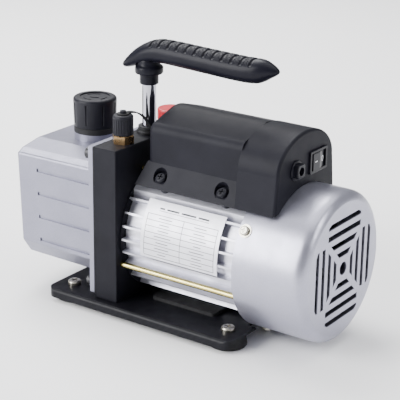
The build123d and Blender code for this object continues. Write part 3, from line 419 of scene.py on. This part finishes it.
# along X from the post: centre height, half height, half width
GRIP = (
    (-20.0, 169.8, 0.5, 3.2),
    (-19.2, 170.2, 2.2, 5.4),
    (-18.1, 170.7, 3.3, 6.4),
    (-14.6, 172.9, 4.8, 7.9),
    (-9.6, 175.9, 6.3, 8.9),
    (-1.6, 179.7, 7.5, 9.8),
    (6.4, 182.2, 8.1, 9.9),
    (15.4, 182.9, 8.4, 9.9),
    (50.4, 181.6, 8.6, 9.9),
    (78.0, 180.6, 8.7, 9.8),
    (90.4, 181.0, 8.4, 8.9),
    (95.8, 181.8, 7.1, 7.4),
    (101.1, 182.4, 4.5, 4.9),
    (104.6, 182.5, 2.4, 2.9),
    (106.2, 182.4, 0.9, 1.3),
    (106.6, 182.4, 0.3, 0.5),
)
GRIP_STEP, GRIP_SIDES = 0.3, 180
FLAT_SIDES = 0.94               # exponent under 1, which squares the grip's round section a little
MOST_PUSHED, LEAST_HALF = 0.3, 2.0      # limits on a dent, as a share of half the grip's height

# soft pads on top, parted by grooves, with a fine crossed net on each pad
PAD_FIRST, PAD_PITCH, PAD_COUNT = 6.5, 7.4, 11
PAD_MARGIN = 0.3                # room past the first and last groove, as a share of the pitch
PAD_ARC = (0.42, 0.66)          # sines of the angles where the pads start and are full
GROOVE_DEPTH, GROOVE_HALF = 0.95, (0.55, 1.35)
NET_DEPTH, NET_EDGE, NET_PER_MM, NET_RADIUS = 0.28, (0.1, 0.55), 1.9, 9.0

# fine teeth across the underside
TEETH_DEPTH, TEETH_PITCH, TEETH_X, TEETH_ARC = 0.5, 2.3, (4.0, 90.0), (0.6, 0.8)

# the collar under the grip, as (radius, height) pairs
COLLAR = ((5.2, 165.3), (8.6, 165.3), (9.5, 165.6), (9.95, 166.3), (10.0, 167.0), (10.0, 169.6),
          (9.8, 170.4), (9.2, 170.9), (8.4, 171.2), (8.0, 172.2), (7.8, 174.0), (7.6, 177.5), (5.2, 177.5))


def smooth_step(value, low, high):
    t = min(max((value - low) / (high - low), 0.0), 1.0)
    return t * t * (3 - 2 * t)


def pad_dent(x, angle):
    """Depth of the grooves between the pads and of the net on them."""
    along = (x - PAD_FIRST) / PAD_PITCH
    if not -PAD_MARGIN < along < PAD_COUNT + PAD_MARGIN:
        return 0.0
    off = abs(along - round(along)) * PAD_PITCH
    groove = 1.0 - smooth_step(off, *GROOVE_HALF)
    dent = GROOVE_DEPTH * groove
    if 0.0 < along < PAD_COUNT:
        width = (angle - math.pi / 2) * NET_RADIUS
        net = min(abs(math.sin((x + width) * NET_PER_MM)), abs(math.sin((x - width) * NET_PER_MM)))
        dent += (1.0 - groove) * NET_DEPTH * (1.0 - smooth_step(net, *NET_EDGE))
    return dent


def teeth_dent(x):
    if not TEETH_X[0] < x < TEETH_X[1]:
        return 0.0
    return TEETH_DEPTH * (0.5 - 0.5 * math.cos(2 * math.pi * x / TEETH_PITCH))


def grip_dent(x, angle):
    """How far the grip's surface is pushed in, by the pads on top or the teeth below."""
    up = math.sin(angle)
    if up > 0:
        return smooth_step(up, *PAD_ARC) * pad_dent(x, angle)
    return smooth_step(-up, *TEETH_ARC) * teeth_dent(x)


def grip_ring(x):
    """The grip's section at x from the post, as points round it from the far side over the top."""
    middle, half_h, half_w = between(GRIP, x)
    ring = []
    for i in range(GRIP_SIDES):
        angle = 2 * math.pi * i / GRIP_SIDES
        round_y = math.copysign(abs(math.cos(angle)) ** FLAT_SIDES, math.cos(angle))
        dent = grip_dent(x, angle)
        scale = 1.0 - min(dent / max(half_h, LEAST_HALF), MOST_PUSHED)
        ring.append((POST_X + x, half_w * round_y * scale, middle + half_h * math.sin(angle) * scale))
    return ring


def make_grip(materials):
    start, end = GRIP[0][0], GRIP[-1][0]
    steps = int((end - start) / GRIP_STEP)
    handle = skin([grip_ring(start + (end - start) * k / steps) for k in range(steps + 1)])
    collar = skin(turned_z(COLLAR, (POST_X, 0)), closed_ends=False)
    verts, faces = joined([handle, collar])
    grip = make_object("grip", verts, faces, materials["grip_plastic"], "pump_frame", smooth=True)
    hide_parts("handle_grip")


# ---------------------------------------------------------------- nameplate print

PLATE_X = (-9.0, 54.8)
PRINT_R, PRINT_THICK = 47.045, 0.03         # from the shaft, at the plate's face
PRINT_MARGIN = 3.0
LINE_MM = 0.36
STRIP_STEP = 2.0                            # degrees between the points of a strip's arc

# heights on the plate are angles about the shaft, in degrees: 0 is the near side and 90 the top
TABLE_BOTTOM, TABLE_TOP = -7.0, 29.0
SECOND_COLUMN = 0.52                        # where the middle rule stands, as a share of the width
TITLE_RULE = (8.0, 9.0, 32.6, 33.0)         # in from the left, in from the right, low and high edge
TITLE_EDGES = (34.2, 35.6)
TITLE_BARS = ((8.0, 4.0), (14.0, 10.0), (26.0, 12.0), (40.0, 8.5))       # from the left, length
CELL_BARS = ((7, 9), (12, 8), (10, 12), (14, 6), (9, 13), (8, 9), (11, 10))   # lengths, one row a pair
CELL_BAR_HALF = 0.3


def plate_point(x, angle, lift):
    """A point on the curved nameplate, lifted off it towards the viewer."""
    a = math.radians(angle)
    r = PRINT_R + lift
    return (x, -r * math.cos(a), AXIS_Z + r * math.sin(a))


def plate_strip(x0, x1, a0, a1):
    """Points and faces of a thin printed strip laid on the nameplate."""
    across = max(2, int(abs(a1 - a0) / STRIP_STEP) + 1)
    verts, faces = [], []
    for k in range(across + 1):
        angle = a0 + (a1 - a0) * k / across
        for lift in (0.0, PRINT_THICK):
            verts += [plate_point(x0, angle, lift), plate_point(x1, angle, lift)]
    for k in range(across):
        low, high = 4 * k, 4 * (k + 1)
        faces.append((low, low + 1, high + 1, high))
        faces.append((low + 2, high + 2, high + 3, low + 3))
        faces.append((low, high, high + 2, low + 2))
        faces.append((low + 1, low + 3, high + 3, high + 1))
    end = 4 * across
    faces += [(0, 2, 3, 1), (end, end + 1, end + 3, end + 2)]
    return verts, faces


def make_nameplate_print(materials):
    """Ruled table with plain bars in its cells under a title strip, with no lettering."""
    left, right = PLATE_X[0] + PRINT_MARGIN, PLATE_X[1] - PRINT_MARGIN
    middle = left + (right - left) * SECOND_COLUMN
    half_line, half_line_deg = LINE_MM / 2, math.degrees(LINE_MM / PRINT_R) / 2
    row = (TABLE_TOP - TABLE_BOTTOM) / len(CELL_BARS)
    strips = []
    for k in range(len(CELL_BARS) + 1):
        angle = TABLE_BOTTOM + row * k
        strips.append((left, right, angle - half_line_deg, angle + half_line_deg))
    for x in (left, middle, right):
        strips.append((x - half_line, x + half_line, TABLE_BOTTOM, TABLE_TOP))
    strips.append((left + TITLE_RULE[0], right - TITLE_RULE[1], *TITLE_RULE[2:]))
    for start, length in TITLE_BARS:
        strips.append((left + start, left + start + length, *TITLE_EDGES))
    for k, lengths in enumerate(CELL_BARS):
        angle = TABLE_BOTTOM + row * (k + 0.5)
        for centre, length in zip(((left + middle) / 2, (middle + right) / 2), lengths):
            strips.append((centre - length / 2, centre + length / 2, angle - CELL_BAR_HALF,
                           angle + CELL_BAR_HALF))
    verts, faces = joined(plate_strip(*strip) for strip in strips)
    rules = make_object("nameplate_rules", verts, faces, materials["ink"], "pump_frame")


# ---------------------------------------------------------------- switch marks

ROCKER_PIVOT = Vector((90.3, 13.8, 123.6))
ROCKER_TILT = math.radians(6.0)             # at rest
ROCKER_REACH, ROCKER_DEPTH = 8.5, 5.0       # half length, and how far its ridge is from the pivot
MARK_THICK = 0.06
RING_CENTRE, RING_RADII, RING_TALLER, RING_SIDES = 4.7, (1.25, 1.85), 1.1, 28
BAR_ENDS, BAR_HALF = (-6.0, -3.2), 0.32


def on_rocker(across, up, lift):
    """A point on one of the rocker's two sloping faces, turned with the rocker to its rest tilt."""
    drop = ROCKER_REACH * math.sin(ROCKER_TILT)
    local = Vector((ROCKER_DEPTH - drop * abs(across) / ROCKER_REACH + lift, across, up))
    return tuple(ROCKER_PIVOT + Matrix.Rotation(ROCKER_TILT, 3, "Z") @ local)


def ring_mark():
    verts, faces = [], []
    for i in range(RING_SIDES):
        a = 2 * math.pi * i / RING_SIDES
        for radius in RING_RADII:
            for lift in (0.0, MARK_THICK):
                verts.append(on_rocker(RING_CENTRE + radius * math.cos(a),
                                       radius * RING_TALLER * math.sin(a), lift))
    for i in range(RING_SIDES):
        a, b = 4 * i, 4 * ((i + 1) % RING_SIDES)
        faces += [(a, a + 2, b + 2, b), (a + 1, b + 1, b + 3, a + 3), (a, b, b + 1, a + 1),
                  (a + 2, a + 3, b + 3, b + 2)]
    return verts, faces


def bar_mark():
    verts = [on_rocker(across, up, lift)
             for across in BAR_ENDS for up in (-BAR_HALF, BAR_HALF) for lift in (0.0, MARK_THICK)]
    return verts, [(0, 1, 3, 2), (4, 6, 7, 5), (0, 4, 5, 1), (2, 3, 7, 6), (0, 2, 6, 4), (1, 5, 7, 3)]


def make_switch_marks(materials):
    """The usual line and ring on the rocker's two halves."""
    for name, mark in (("switch_mark_off", ring_mark()), ("switch_mark_on", bar_mark())):
        piece = make_object(name, *mark, materials["mark_white"], "rocker")


# ---------------------------------------------------------------- oil cap icon

DISC_DROP, SINK = 0.8, 0.05                 # the cap's disc below its rim, and the icon's foot in it
DROP_SIDES, DROP_RADIUS, DROP_WIDTH, DROP_BACK = 40, 3.0, 2.6, 1.5
DROP_POINT, DROP_SHARPNESS = 0.75, 6        # how far the drop's tip runs out, and how narrow it is
DROP_LAYERS = ((-SINK, 1.0), (0.45, 1.0), (0.6, 0.9))       # height on the disc, share of the size
RIB_COUNT, RIB_FIRST, RIB_SPAN, RIB_STEPS = 3, 100, 70, 12
RIB_SECTION = ((7.6, -SINK), (8.5, -SINK), (8.4, 0.4), (7.7, 0.4))      # radius, height on the disc


def drop_shape(centre, disc):
    """An oil drop with a bevelled top edge, its tip along +X."""
    middle = centre.x - DROP_BACK
    outline = []
    for i in range(DROP_SIDES):
        t = 2 * math.pi * i / DROP_SIDES
        radius = DROP_RADIUS * (1.0 + DROP_POINT * max(0.0, math.cos(t)) ** DROP_SHARPNESS)
        outline.append((middle + radius * math.cos(t), centre.y + DROP_WIDTH * math.sin(t)))
    rings = []
    for height, share in DROP_LAYERS:
        rings.append([(middle + (x - middle) * share, centre.y + (y - centre.y) * share, disc + height)
                      for x, y in outline])
    return skin(rings)


def rib(centre, disc, first):
    """A curved rib along part of the disc's edge; first is its start angle in degrees."""
    sections = []
    for i in range(RIB_STEPS + 1):
        a = math.radians(first) + math.radians(RIB_SPAN) * i / RIB_STEPS
        sections.append([(centre.x + radius * math.cos(a), centre.y + radius * math.sin(a), disc + height)
                         for radius, height in RIB_SECTION])
    return skin(sections)


def make_cap_icon(materials):
    """A raised drop and three curved ribs on the oil cap's top disc, with no lettering."""
    low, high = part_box("oil_fill_cap")
    centre = Vector(((low.x + high.x) / 2 / MM, (low.y + high.y) / 2 / MM))
    disc = high.z / MM - DISC_DROP
    ribs = [rib(centre, disc, RIB_FIRST + 360 / RIB_COUNT * k) for k in range(RIB_COUNT)]
    verts, faces = joined([drop_shape(centre, disc)] + ribs)
    icon = make_object("oil_cap_icon", verts, faces, materials["cap_plastic"], "cap")


make_camera()
make_studio()
make_floor()
materials = make_materials()
finish_cad_nodes(materials)
make_grip(materials)
make_nameplate_print(materials)
make_switch_marks(materials)
make_cap_icon(materials)
